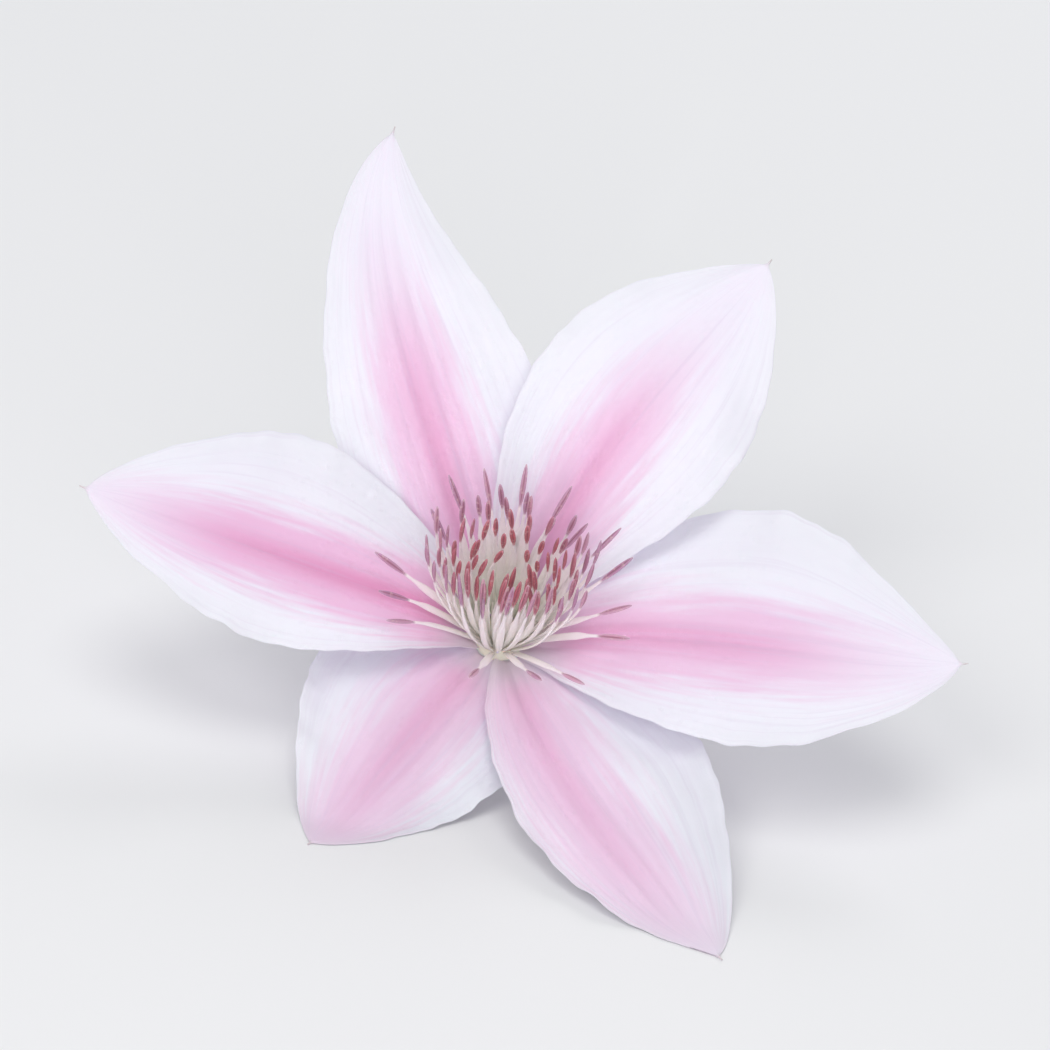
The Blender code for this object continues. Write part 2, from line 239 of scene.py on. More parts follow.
# The floor and the lights. Each light has a name, a place, a size, a power and a colour.
FLOOR_HALF_SIDE = 4.0
LIGHTS = (
    ("key", (-0.60, -0.80, 0.95), 0.6, 3.5, (1.0, 0.985, 0.96)),
    ("front", (0.15, -1.20, 0.40), 0.9, 4.1, (1.0, 0.98, 0.98)),
    ("top", (-0.10, -0.30, 1.25), 0.7, 4.0, (1.0, 0.99, 0.98)),
    ("back", (0.25, 0.85, 0.75), 0.6, 3.0, (1.0, 1.0, 1.0)),
)
BOSS_LIGHT = ("middle", (0.05, -0.95, 0.22), 0.06, 0.0016, (1.0, 0.97, 0.95))
BOSS_LIGHT_SPREAD = math.radians(3.0)
BOSS_MIDDLE = (0.0, 3 * MM, 14 * MM)
WORLD_COLOUR = (0.93, 0.95, 1.0, 1.0)
WORLD_STRENGTH = 0.46


# ---------------------------------------------------------------- where the flower lies


def unit(vectors):
    return vectors / np.linalg.norm(vectors, axis=-1, keepdims=True)


def smooth_step(value, low, high):
    share = np.clip((value - low) / (high - low), 0, 1)
    return share * share * (3 - 2 * share)


def face_axes():
    """The flower's right, up and out axes in the world, as the columns of a matrix."""
    sine = math.sin(FACE_ELEVATION)
    cosine = math.cos(FACE_ELEVATION)
    return np.array(((1, 0, 0), (0, sine, -cosine), (0, cosine, sine)), float)


AXES = face_axes()


def stalk_line(middle):
    """The stalk's middle line, from the plane of the tepals' bases to the cut end."""
    neck = [middle - AXES[:, 2] * STALK_NECK * share for share in np.linspace(0, 1, 8)]
    centre = neck[-1] + AXES[:, 1] * STALK_BEND_RADIUS
    bend = []
    for share in np.linspace(0, 1, 25)[1:]:
        turned = FACE_ELEVATION * (1 - share)
        outwards = np.array((0, -math.sin(turned), -math.cos(turned)))
        bend.append(centre + outwards * STALK_BEND_RADIUS)
    lying = []
    for share in np.linspace(0, 1, 49)[1:]:
        turned = STALK_LYING / STALK_SWEEP_RADIUS * share
        sideways = STALK_SWEEP_RADIUS * (1 - math.cos(turned))
        backwards = STALK_SWEEP_RADIUS * math.sin(turned)
        lying.append(bend[-1] + np.array((sideways, backwards, 0)))
    return np.array(neck + bend + lying)


def find_middle():
    """The middle of the flower's face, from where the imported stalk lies.

    The stalk's leftmost and foremost points are on the receptacle, and its lowest is on its underside.
    """
    low = np.array(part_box("stalk")[0])
    shoulder_height = DOME_HEIGHT / 2
    shoulder_radius = (DOME_TOP_RADIUS + RECEPTACLE_RADIUS) / 2
    left = -RECEPTACLE_RADIUS * math.cos(math.pi / STALK_SIDES)
    front = -shoulder_height * math.cos(FACE_ELEVATION) - shoulder_radius * math.sin(FACE_ELEVATION)
    below = stalk_line(np.zeros(3))[:, 2].min() - STALK_RADIUS
    return low - np.array((left, front, below))


MIDDLE = find_middle()


def placed(points):
    """Points of the flower's own frame, where they lie in the world."""
    return np.asarray(points) @ AXES.T + MIDDLE


# ---------------------------------------------------------------- meshes


def add_piece(name, points, faces, finish, replaces, attributes=None):
    """A smooth piece that stands for CAD nodes. attributes are numbers kept at each point."""
    mesh = bpy.data.meshes.new(name)
    mesh.from_pydata(np.asarray(points).tolist(), [], faces)
    mesh.shade_smooth()
    for key, values in (attributes or {}).items():
        layer = mesh.attributes.new(key, "FLOAT", "POINT")
        layer.data.foreach_set("value", np.asarray(values, dtype=np.float32).ravel())
    mesh.materials.append(finish)
    mesh.validate()
    made = bpy.data.objects.new(name, mesh)
    bpy.context.scene.collection.objects.link(made)
    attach(made, "root")
    if replaces:
        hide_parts(*replaces)
    return made


def ring_faces(rings, sides, first=0):
    """Quads between rings of points that follow one another, and a cap at each end."""
    faces = [
        tuple(first + side for side in reversed(range(sides))),
        tuple(first + (rings - 1) * sides + side for side in range(sides)),
    ]
    for ring in range(rings - 1):
        low = first + ring * sides
        for side in range(sides):
            after = (side + 1) % sides
            faces.append((low + side, low + after, low + sides + after, low + sides + side))
    return faces


def section_axes(line, away):
    """The wide and deep directions of a line's section at each point."""
    tangent = unit(np.gradient(line, axis=0))
    wide = unit(np.cross(tangent, away))
    return wide, np.cross(wide, tangent)


# ---------------------------------------------------------------- tepals


def tepal_outline(along, fullness):
    """Half width over the largest half width: narrow at the base, widest near half way, pointed."""
    return np.sin(math.pi * along**fullness) ** OUTLINE_FULLNESS


def tepal_line(tepal, along):
    """The middle line of a tepal and its direction, at shares of its length."""
    steps = np.linspace(0, 1, 401)
    heading = np.radians(tepal["clock"] + tepal["turn"] * steps + tepal["hook"] * steps**4)
    rise = np.radians(tepal["base_rise"] + (tepal["tip_rise"] - tepal["base_rise"]) * steps)
    tangent = np.stack(
        (np.sin(heading) * np.cos(rise), np.cos(heading) * np.cos(rise), np.sin(rise)), axis=-1
    )
    stride = tepal["length"] * MM / (len(steps) - 1)
    walked = np.cumsum((tangent[1:] + tangent[:-1]) / 2, axis=0) * stride
    seat = math.radians(tepal["seat"])
    start = np.array((math.sin(seat), math.cos(seat), 0)) * TEPAL_BASE_RADIUS
    line = np.vstack((start, start + walked))
    line = np.stack([np.interp(along, steps, line[:, k]) for k in range(3)], axis=-1)
    tangent = np.stack([np.interp(along, steps, tangent[:, k]) for k in range(3)], axis=-1)
    return line, unit(tangent)


def fine_relief(tepal, along, across, reach, outline):
    """How far the fine shape stands off the plain tepal: ribs, veins, buckles and crinkled margin."""
    phase = tepal["phase"]
    off = np.abs(reach)
    fading = (1 - along) ** 0.5
    relief = -RIB_DEPTH * fading * np.exp(-((off / RIB_HALF_WIDTH) ** 2))
    side_rib = (off - SIDE_RIB_PLACE_AT_ENDS - SIDE_RIB_SPREAD * outline) / SIDE_RIB_HALF_WIDTH
    relief = relief - SIDE_RIB_DEPTH * fading * np.exp(-(side_rib**2))
    flute = np.cos(across * FLUTE_WAVES + 0.8 * np.sin(along * 4 + phase)) * np.abs(across) ** 0.5
    relief = relief + FLUTE_DEPTH * fading * outline * flute
    vein = np.sin(across * VEIN_WAVES + 2 * np.sin(along * 5 + phase))
    relief = relief + VEIN_DEPTH * outline * vein
    free = smooth_step(along, 0.3, 0.6)
    crinkle = np.sin(along * CRINKLE_WAVES + phase + 2.2 * across)
    fine_crinkle = np.sin(along * FINE_CRINKLE_WAVES + 2.3 * phase - across)
    crinkle = crinkle + FINE_CRINKLE_SHARE * fine_crinkle
    relief = relief + CRINKLE * free * crinkle * np.abs(across) ** 5 * outline
    buckle = np.sin(along * BUCKLE_WAVES + 5 * across + phase) * np.abs(across) * (1 - across**2)
    return relief + BUCKLE * free * buckle * outline


def tepal_sheet(tepal, along, across):
    """The middle surface of a tepal in the world, and how far each point is from its middle line."""
    line, tangent = tepal_line(tepal, along)
    side = unit(np.cross(tangent, (0.0, 0.0, 1.0)))
    normal = np.cross(side, tangent)

    blade = np.minimum(along / (1 - POINT_SHARE), 1)
    outline = tepal_outline(blade, tepal["fullness"])
    width = TEPAL_TIP_HALF_WIDTH * (1 - POINT_NARROWING * smooth_step(along, 1 - POINT_SHARE, 1))
    width = width + tepal["half"] * MM * outline
    width = width + TEPAL_BASE_HALF_WIDTH * (1 - along) ** BASE_NARROWING
    reach = width * (across + tepal["uneven"] * across**2)
    wander = np.sin(along * EDGE_WAVES + 3 * tepal["phase"])
    wander = wander + FINE_EDGE_SHARE * np.sin(along * FINE_EDGE_WAVES + across + tepal["phase"])
    reach = reach + EDGE_UNEVENNESS * wander * np.sign(across) * across**4 * outline

    cup = tepal["cup"] * (1 - along) ** 2
    ripple = np.sin(along * RIPPLE_WAVES + tepal["phase"] + 1.5 * across)
    bend = width * (cup * np.abs(across) ** 1.3 - MARGIN_FALL * along * across**2)
    bend = bend + RIPPLE * ripple * np.abs(across) ** 3 * outline * along
    bend = bend + tepal["lift"] * MM * (1 - along) ** 1.5 * np.tanh(along * LIFT_ONSET)
    bend = bend + fine_relief(tepal, along, across, reach, outline)

    roll = np.radians(tepal["twist"]) * np.sin(math.pi * along)
    sideways = reach * np.cos(roll) - bend * np.sin(roll)
    outwards = reach * np.sin(roll) + bend * np.cos(roll)
    points = line + side * sideways[..., None] + normal * outwards[..., None]
    seated = np.clip(1 - along / TEPAL_SEAT_SHARE, 0, 1)
    points = points - tangent * (seated * TEPAL_SEAT_INWARDS)[..., None]
    return pressed(placed(points)), reach


def pressed(points):
    """Points that would be under the floor, eased up to lie on it."""
    floor = TEPAL_THICKNESS / 2
    above = (points[..., 2] - floor) / PRESS_SOFTNESS
    eased = np.logaddexp(0, above) * PRESS_SOFTNESS + floor
    return np.concatenate((points[..., :2], eased[..., None]), axis=-1)


def build_tepal(tepal, finish):
    """Two fine sheets, the face and the back of the tepal, joined round a thin rounded margin."""
    rows, columns = SHEET_ROWS, SHEET_COLUMNS
    count = rows * columns
    spread = np.linspace(-1, 1, columns)
    spread = np.sign(spread) * np.abs(spread) ** COLUMN_CROWDING
    along, across = np.meshgrid(np.linspace(0, 1, rows), spread, indexing="ij")
    middle, reach = tepal_sheet(tepal, along, across)
    normal = unit(np.cross(np.gradient(middle, axis=1), np.gradient(middle, axis=0)))
    taper = smooth_step(np.abs(across), 0.25, 1.0)
    half = (THICKNESS_MIDDLE + (THICKNESS_MARGIN - THICKNESS_MIDDLE) * taper) / 2
    face = (middle + normal * half[..., None]).reshape(-1, 3)
    back = (middle - normal * half[..., None]).reshape(-1, 3)

    base = [(0, column) for column in range(columns)]
    clockwise = [(row, columns - 1) for row in range(1, rows)]
    tip = [(rows - 1, column) for column in range(columns - 2, -1, -1)]
    other = [(row, 0) for row in range(rows - 2, 0, -1)]
    rim = [row * columns + column for row, column in base + clockwise + tip + other]
    flat = middle.reshape(-1, 3)
    ring = flat[rim]
    onward = np.roll(ring, -1, axis=0) - np.roll(ring, 1, axis=0)
    outward = unit(np.cross(onward, normal.reshape(-1, 3)[rim]))
    if ((ring - flat.mean(axis=0)) * outward).sum() < 0:
        outward = -outward
    edge = ring + outward * EDGE_ROUNDING

    faces = []
    for row in range(rows - 1):
        for column in range(columns - 1):
            corner = row * columns + column
            quad = (corner, corner + 1, corner + 1 + columns, corner + columns)
            faces.append(quad)
            faces.append(tuple(count + point for point in reversed(quad)))
    for place, here in enumerate(rim):
        after_place = (place + 1) % len(rim)
        after = rim[after_place]
        here_edge, after_edge = 2 * count + place, 2 * count + after_place
        faces.append((after, here, here_edge, after_edge))
        faces.append((after_edge, here_edge, count + here, count + after))

    def everywhere(values):
        """Values of the sheet's points for its face, its back and its edge."""
        values = values.ravel()
        return np.concatenate((values, values, values[rim]))

    points = np.vstack((face, back, edge))
    bar_end, bar_width, bar_strength = BARS[tepal["name"]]
    attributes = {
        "along": everywhere(along),
        "across": everywhere(across),
        "reach_mm": everywhere(reach / MM),
        "is_face": np.concatenate((np.ones(count), np.zeros(count), np.full(len(rim), 0.5))),
        "seed": np.full(len(points), tepal["phase"] * 3.7),
        "length_mm": everywhere(along * tepal["length"]),
        "bar_end": np.full(len(points), bar_end),
        "bar_width": np.full(len(points), bar_width),
        "bar_strength": np.full(len(points), bar_strength),
    }
    name = tepal["name"]
    return add_piece(name + "_petal", points, faces, finish, [name], attributes)


# ---------------------------------------------------------------- stamens


def stamen_line(number, rings):
    """The middle line of a stamen in the flower's frame, the way it leans, and how far in it stands.

    A number between two whole ones is a stamen that stands between those two.
    """
    inner = number / (STAMEN_COUNT - 1)
    clock = number * GOLDEN_ANGLE
    outwards = np.array((math.sin(clock), math.cos(clock), 0.0))
    beside = np.array((math.cos(clock), -math.sin(clock), 0.0))
    height = LOWEST_STAMEN + (DOME_HEIGHT - LOWEST_STAMEN - 0.1 * MM) * inner
    dome_radius = RECEPTACLE_RADIUS - (RECEPTACLE_RADIUS - DOME_TOP_RADIUS) * height / DOME_HEIGHT
    radius = dome_radius + PIECE_GAP + 0.3 * MM
    length = OUTER_STAMEN_LENGTH + (INNER_STAMEN_LENGTH - OUTER_STAMEN_LENGTH) * inner
    if number != int(number):
        length *= LENGTH_BETWEEN + LENGTH_CHANGE_BETWEEN * math.sin(3.0 * number)
    start = outwards * radius + np.array((0.0, 0.0, height))
    if number < SPLAYED_STAMENS:
        rise = SPLAYED_RISE - SPLAYED_RISE_CHANGE * math.cos(clock)
        rise = math.radians(rise + RISE_SCATTER * math.sin(5.0 * number))
        tip = start + length * (outwards * math.cos(rise) + np.array((0.0, 0.0, math.sin(rise))))
        bow = SPLAYED_BOW
    else:
        standing = (number - SPLAYED_STAMENS) / (STAMEN_COUNT - SPLAYED_STAMENS)
        tip_radius = STANDING_TIP_RADIUS * math.sqrt(1 - standing)
        flatness = BOSS_FLATNESS + BOSS_FLATNESS_CHANGE * math.cos(clock)
        lean = OUTER_LEAN + (INNER_LEAN - OUTER_LEAN) * standing
        tip = tip_radius * outwards * np.array((1.0, flatness, 0.0)) + np.array((0.0, lean, 0.0))
        sideways = np.linalg.norm((tip - start)[:2])
        tip[2] = height + math.sqrt(length**2 - sideways**2)
        bow = OUTER_BOW + (INNER_BOW - OUTER_BOW) * standing
    share = np.linspace(0, 1, rings)[:, None]
    line = start + (tip - start) * share + outwards * bow * np.sin(math.pi * share)
    sway = STAMEN_SWAY * math.sin(3.0 * number) * np.sin(math.pi * share * 1.3) * share
    return line + beside * sway, outwards, inner


def stamen_mesh(number):
    """A flat thread that carries an anther of two long pollen sacs, with a groove between them."""
    line, outwards, inner = stamen_line(number, STAMEN_RINGS)
    line = placed(line)
    share = np.linspace(0, 1, STAMEN_RINGS)
    in_anther = np.clip((share - 1 + ANTHER_SHARE) / ANTHER_SHARE, 0, 1)
    plump = np.sin(math.pi * (in_anther * 0.97 + 0.015)) ** ANTHER_BLUNTNESS
    is_anther = smooth_step(in_anther, 0.0, 0.06)
    thread = 1 + FILAMENT_SWELL * np.sin(math.pi * share) - FILAMENT_NARROWING * share
    thread = thread * (1 - FILAMENT_NECK * smooth_step(share, 0.52, 0.68))
    width = FILAMENT_WIDTH * thread * (1 - is_anther) + ANTHER_WIDTH * plump * is_anther
    depth = FILAMENT_DEPTH * (1 - is_anther) + ANTHER_DEPTH * plump * is_anther
    wide, deep = section_axes(line, AXES @ -outwards)
    turn = STAMEN_TURN * math.sin(7.0 * number) * share
    wide, deep = (
        wide * np.cos(turn)[:, None] + deep * np.sin(turn)[:, None],
        deep * np.cos(turn)[:, None] - wide * np.sin(turn)[:, None],
    )
    angles = np.arange(STAMEN_SIDES) * 2 * math.pi / STAMEN_SIDES
    x = np.cos(angles)
    waist = 0.55 + 1.8 * x**2 * (1 - x**2)
    rings = []
    for k in range(STAMEN_RINGS):
        y = np.sin(angles) * ((1 - is_anther[k]) + is_anther[k] * waist)
        across = np.outer(x, wide[k]) * width[k] / 2
        rings.append(line[k] + across + np.outer(y, deep[k]) * depth[k] / 2)
    count = STAMEN_RINGS * STAMEN_SIDES
    attributes = {
        "share": np.repeat(share, STAMEN_SIDES),
        "anther": np.repeat(is_anther, STAMEN_SIDES),
        "inner": np.full(count, inner),
        "seed": np.full(count, number * 1.37),
        # groove is highest along the groove between the pollen sacs, where shade is painted.
        "groove": np.tile(1 - np.abs(x), STAMEN_RINGS),
    }
    return np.vstack(rings), attributes


def build_stamen(number, finish):
    """One stamen of the model."""
    points, attributes = stamen_mesh(number)
    name = f"stamen_{number + 1:02d}"
    faces = ring_faces(STAMEN_RINGS, STAMEN_SIDES)
    return add_piece(name + "_fine", points, faces, finish, [name], attributes)


def build_between(finish):
    """The stamens that stand between those of the model and fill the boss, as one piece."""
    made = []
    for before in range(STAMEN_COUNT - 1):
        number = before + 0.5
        if number > SPLAYED_STAMENS or math.cos(number * GOLDEN_ANGLE) > LOWEST_BETWEEN:
            made.append(stamen_mesh(number))
    faces = []
    for place in range(len(made)):
        faces += ring_faces(STAMEN_RINGS, STAMEN_SIDES, place * STAMEN_RINGS * STAMEN_SIDES)
    points = np.vstack([points for points, _ in made])
    attributes = {key: np.concatenate([own[key] for _, own in made]) for key in made[0][1]}
    return add_piece("stamens_between", points, faces, finish, [], attributes)


# ---------------------------------------------------------------- pistils


def build_pistils(finish):
    """A head of small seed cases, each drawn out into a long silky style with a bent stigma."""
    points, faces, seeds = [], [], []
    foot = DOME_HEIGHT + PIECE_GAP
    share = np.linspace(0, 1, STYLE_RINGS)
    turns = np.arange(STYLE_SIDES) * 2 * math.pi / STYLE_SIDES
    seed_case = SEED_CASE_RADIUS * np.exp(-(((share - 0.07) / 0.09) ** 2))
    radii = np.maximum(seed_case, STYLE_FOOT_RADIUS * (1 - share) ** 0.6 + STYLE_TIP_RADIUS)
    for number in range(STYLE_COUNT):
        inner = (number + 0.5) / STYLE_COUNT
        clock = number * GOLDEN_ANGLE
        outwards = np.array((math.sin(clock), math.cos(clock), 0.0))
        sideways = np.array((math.cos(clock), -math.sin(clock), 0.0))
        radius = PISTIL_HEAD_RADIUS * 0.82 * math.sqrt(1 - inner)
        length = STYLE_LENGTH * (0.80 + 0.14 * inner + 0.06 * math.sin(4.0 * number))
        lean = 0.35 * MM * (1 - inner) * np.sin(share * 2.2) + 0.2 * MM * share**4
        sway = STYLE_SWAY * math.sin(2.0 * number) * np.sin(math.pi * share)
        line = outwards * (radius + lean)[:, None] + sideways * sway[:, None]
        line[:, 2] = foot + (0.1 + 0.9 * inner) * 0.5 * MM + share * length
        line = placed(line)
        wide, deep = section_axes(line, AXES @ sideways)
        faces += ring_faces(STYLE_RINGS, STYLE_SIDES, len(points) * STYLE_SIDES)
        for k in range(STYLE_RINGS):
            ring = np.outer(np.cos(turns), wide[k]) + np.outer(np.sin(turns), deep[k])
            points.append(line[k] + ring * radii[k])
        seeds += [number * 0.73] * (STYLE_RINGS * STYLE_SIDES)
    attributes = {"share": np.tile(np.repeat(share, STYLE_SIDES), STYLE_COUNT), "seed": seeds}
    points = np.vstack(points)
    return add_piece("pistils_fine", points, faces, finish, ["pistils"], attributes)


# ---------------------------------------------------------------- stalk


def build_stalk(finish):
    """The ridged stalk, its slanted cut, and the receptacle at its head."""
    sides = FINE_STALK_SIDES
    receptacle = (
        (DOME_HEIGHT, 0.0),
        (DOME_HEIGHT, DOME_TOP_RADIUS * 0.6),
        (DOME_HEIGHT - 0.3 * MM, DOME_TOP_RADIUS),
        (DOME_HEIGHT * 0.5, (DOME_TOP_RADIUS + RECEPTACLE_RADIUS) * 0.5),
        (0.5 * MM, RECEPTACLE_RADIUS - 0.3 * MM),
        (-0.4 * MM, RECEPTACLE_RADIUS),
        (-0.35 * CUP_DEPTH, RECEPTACLE_RADIUS * 0.85),
        (-0.7 * CUP_DEPTH, RECEPTACLE_RADIUS * 0.52),
        (-1.1 * CUP_DEPTH, STALK_RADIUS * 1.15),
    )
    heights = np.array([height for height, _ in receptacle])
    radii = np.array([radius for _, radius in receptacle])
    walk = np.concatenate(((0,), np.cumsum(np.hypot(np.diff(heights), np.diff(radii)))))
    fine = np.linspace(0, walk[-1], RECEPTACLE_RINGS)
    fine_heights = np.interp(fine, walk, heights)
    fine_radii = np.interp(fine, walk, radii)
    for _ in range(RECEPTACLE_SMOOTHINGS):
        fine_radii[1:-1] = (fine_radii[:-2] + 2 * fine_radii[1:-1] + fine_radii[2:]) / 4
        fine_heights[1:-1] = (fine_heights[:-2] + 2 * fine_heights[1:-1] + fine_heights[2:]) / 4
    fine_radii[0] = 0.02 * MM
    stalk = stalk_line(MIDDLE)
    stalk = stalk[((MIDDLE - stalk) @ AXES[:, 2]) > 1.25 * CUP_DEPTH]
    line = np.vstack((MIDDLE + AXES[:, 2] * fine_heights[:, None], stalk))
    radii = np.concatenate((fine_radii, np.full(len(stalk), STALK_RADIUS)))
    head = np.tile(-AXES[:, 2], (len(fine_radii), 1))
    tangent = unit(np.vstack((head, np.gradient(stalk, axis=0))))
    wide = unit(np.cross(tangent, (1.0, 0.0, 0.0)))
    deep = np.cross(wide, tangent)
    angles = np.arange(sides) * 2 * math.pi / sides
    neck, rest = np.linspace(0, 1, RIDGE_ONSET), np.ones(len(stalk) - RIDGE_ONSET)
    ridged = np.concatenate((np.zeros(len(fine_radii)), neck, rest))
    points, ridge = [], []
    for k in range(len(line)):
        groove = np.cos(STALK_RIDGES * angles + 0.4 * math.sin(k * 0.05)) - 1
        groove = groove * RIDGE_DEPTH * ridged[k]
        ring = np.outer(np.cos(angles), wide[k]) + np.outer(np.sin(angles), deep[k])
        points.append(line[k] + ring * (radii[k] * (1 + groove))[:, None])
        ridge.append(groove)
    last = points[-1]
    slant = (last - line[-1])[:, 0] * math.tan(CUT_SLANT)
    points[-1] = last + np.outer(slant, tangent[-1])
    run = np.concatenate(((0,), np.cumsum(np.linalg.norm(np.diff(line, axis=0), axis=1)))) / MM
    attributes = {
        "run_mm": np.repeat(run, sides),
        "ridge": np.concatenate(ridge),
        "turn": np.tile(angles, len(line)),
    }
    faces = ring_faces(len(line), sides)
    return add_piece("stalk_fine", np.vstack(points), faces, finish, ["stalk"], attributes)


# ---------------------------------------------------------------- materials


class Nodes:
    """Short ways to add and join the nodes of one material."""

    def __init__(self, name):
        self.material = bpy.data.materials.new(name)
        self.material.use_nodes = True
        self.tree = self.material.node_tree
        self.shader = self.tree.nodes["Principled BSDF"]

    def node(self, kind, **settings):
        made = self.tree.nodes.new(kind)
        for key, value in settings.items():
            setattr(made, key, value)
        return made

    def join(self, source, socket):
        if hasattr(source, "links"):
            self.tree.links.new(source, socket)
        else:
            socket.default_value = source

    def attribute(self, name):
        return self.node("ShaderNodeAttribute", attribute_name=name).outputs["Fac"]

    def maths(self, operation, *values, clamp=False):
        made = self.node("ShaderNodeMath", operation=operation, use_clamp=clamp)
        for value, socket in zip(values, made.inputs):
            self.join(value, socket)
        return made.outputs[0]

    def times(self, first, second, clamp=False):
        return self.maths("MULTIPLY", first, second, clamp=clamp)

    def ramp(self, value, low, high, to_low=0.0, to_high=1.0):
        """A value of low to high, eased to one of to_low to to_high."""
        made = self.node("ShaderNodeMapRange", interpolation_type="SMOOTHSTEP")
        keys = ("Value", "From Min", "From Max", "To Min", "To Max")
        for key, given in zip(keys, (value, low, high, to_low, to_high)):
            self.join(given, made.inputs[key])
        return made.outputs[0]

    def vector(self, x, y, z=0.0):
        made = self.node("ShaderNodeCombineXYZ")
        for value, socket in zip((x, y, z), made.inputs):
            self.join(value, socket)
        return made.outputs[0]

    def noise(self, vector, scale, detail=3.0, roughness=0.5):
        made = self.node("ShaderNodeTexNoise")
        self.join(vector, made.inputs["Vector"])
        made.inputs["Scale"].default_value = scale
        made.inputs["Detail"].default_value = detail
        made.inputs["Roughness"].default_value = roughness
        return made.outputs["Fac"]

    def place(self):
        return self.node("ShaderNodeTexCoord").outputs["Object"]

    def blend(self, share, first, second):
        """The first colour, with a share of the second over it."""
        made = self.node("ShaderNodeMix", data_type="RGBA")
        self.join(share, made.inputs[0])
        for value, socket in ((first, made.inputs[6]), (second, made.inputs[7])):
            self.join((*value, 1.0) if isinstance(value, tuple) else value, socket)
        return made.outputs[2]

    def bump(self, height, distance, strength=1.0):
        made = self.node("ShaderNodeBump")
        made.inputs["Distance"].default_value = distance
        made.inputs["Strength"].default_value = strength
        self.join(height, made.inputs["Height"])
        self.join(made.outputs[0], self.shader.inputs["Normal"])

    def shade(self, values):
        """Joins nodes to the shader's sockets, and sets the sockets that have one value all over."""
        for key, value in values.items():
            self.join(value, self.shader.inputs[key])


def tepal_material():
    """Lilac white with a feathered pink bar down the middle, streaked along the veins."""
    n = Nodes("tepal_petal")
    along = n.attribute("along")
    across = n.attribute("across")
    reach = n.attribute("reach_mm")
    arc = n.attribute("length_mm")
    seed = n.attribute("seed")
    bar_strength = n.attribute("bar_strength")
    off = n.maths("DIVIDE", n.maths("ABSOLUTE", reach), n.attribute("bar_width"))
    along_bar = n.maths("DIVIDE", along, n.attribute("bar_end"))
    streaks = n.noise(n.vector(n.times(across, 9.0), n.times(arc, 0.045), seed), 1.6, 4.0)
    clouds = n.noise(n.vector(n.times(reach, 0.10), n.times(arc, 0.06), seed), 1.0, 3.0)
    veins = n.noise(n.vector(n.times(across, 26.0), n.times(arc, 0.03), seed), 1.0, 2.0)

    # The bar, with feathered sides, and its darker core. Both fade towards the base and the tip.
    fading = n.times(n.ramp(along_bar, 0.50, 1.0, 1.0, 0.08), n.ramp(along, 0.02, 0.16, 0.35, 1.0))
    feather = n.maths("ADD", n.times(n.maths("SUBTRACT", streaks, 0.5), 9.0), off)
    inside = n.maths("SUBTRACT", n.ramp(along_bar, 0.45, 1.0, 7.2, 4.2), feather)
    bar = n.times(n.ramp(inside, -4.2, 3.4), fading)
    core = n.ramp(n.maths("SUBTRACT", off, n.times(streaks, 1.4)), 3.4, -0.4)
    core = n.times(core, n.times(fading, n.ramp(along_bar, 0.30, 0.85, 0.66, 0.10)))
    core = n.times(core, n.maths("POWER", bar_strength, 2.0), clamp=True)

    face = n.blend(n.times(n.ramp(clouds, 0.35, 0.75), 0.30), LILAC_WHITE, LILAC_CLOUD)
    margin = n.ramp(n.maths("ABSOLUTE", across), 0.75, 1.0)
    face = n.blend(n.times(margin, 0.45), face, MARGIN_WHITE)
    face = n.blend(n.times(bar, n.times(bar_strength, 0.88)), face, BAR_PINK)
    face = n.blend(core, face, CORE_PINK)
    face = n.blend(n.times(n.ramp(veins, 0.52, 0.70), 0.16), face, VEIN_MAUVE)
    point = n.ramp(along, 1 - 1.4 * POINT_SHARE, 1.0)
    face = n.blend(n.times(point, 0.55), face, POINT_BROWN)

    back_bar = n.ramp(n.maths("ADD", off, n.times(streaks, 3.0)), 5.6, 1.6)
    back = n.blend(n.times(back_bar, fading), BACK_WHITE, BACK_BAR)
    midrib = n.times(n.ramp(off, 1.7, 0.2), n.ramp(along, 0.35, 0.95, 0.75, 0.1))
    back = n.blend(midrib, back, BACK_MIDRIB)
    back = n.blend(n.times(n.ramp(veins, 0.50, 0.66), 0.35), back, BACK_VEIN)

    grain = n.noise(n.place(), 5200.0, 2.0)
    n.bump(n.maths("ADD", n.times(veins, 0.7), n.times(grain, 0.3)), 0.08 * MM, 0.5)
    n.shade(
        {
            "Base Color": n.blend(n.ramp(n.attribute("is_face"), 0.2, 0.8), back, face),
            "Roughness": n.ramp(grain, 0.3, 0.7, 0.46, 0.60),
            "Specular IOR Level": 0.35,
            "Sheen Weight": 0.10,
            "Sheen Roughness": 0.5,
            "Subsurface Weight": 0.45,
            "Subsurface Radius": (1.0, 0.75, 0.85),
            "Subsurface Scale": 1.2 * MM,
        }
    )
    return n.material


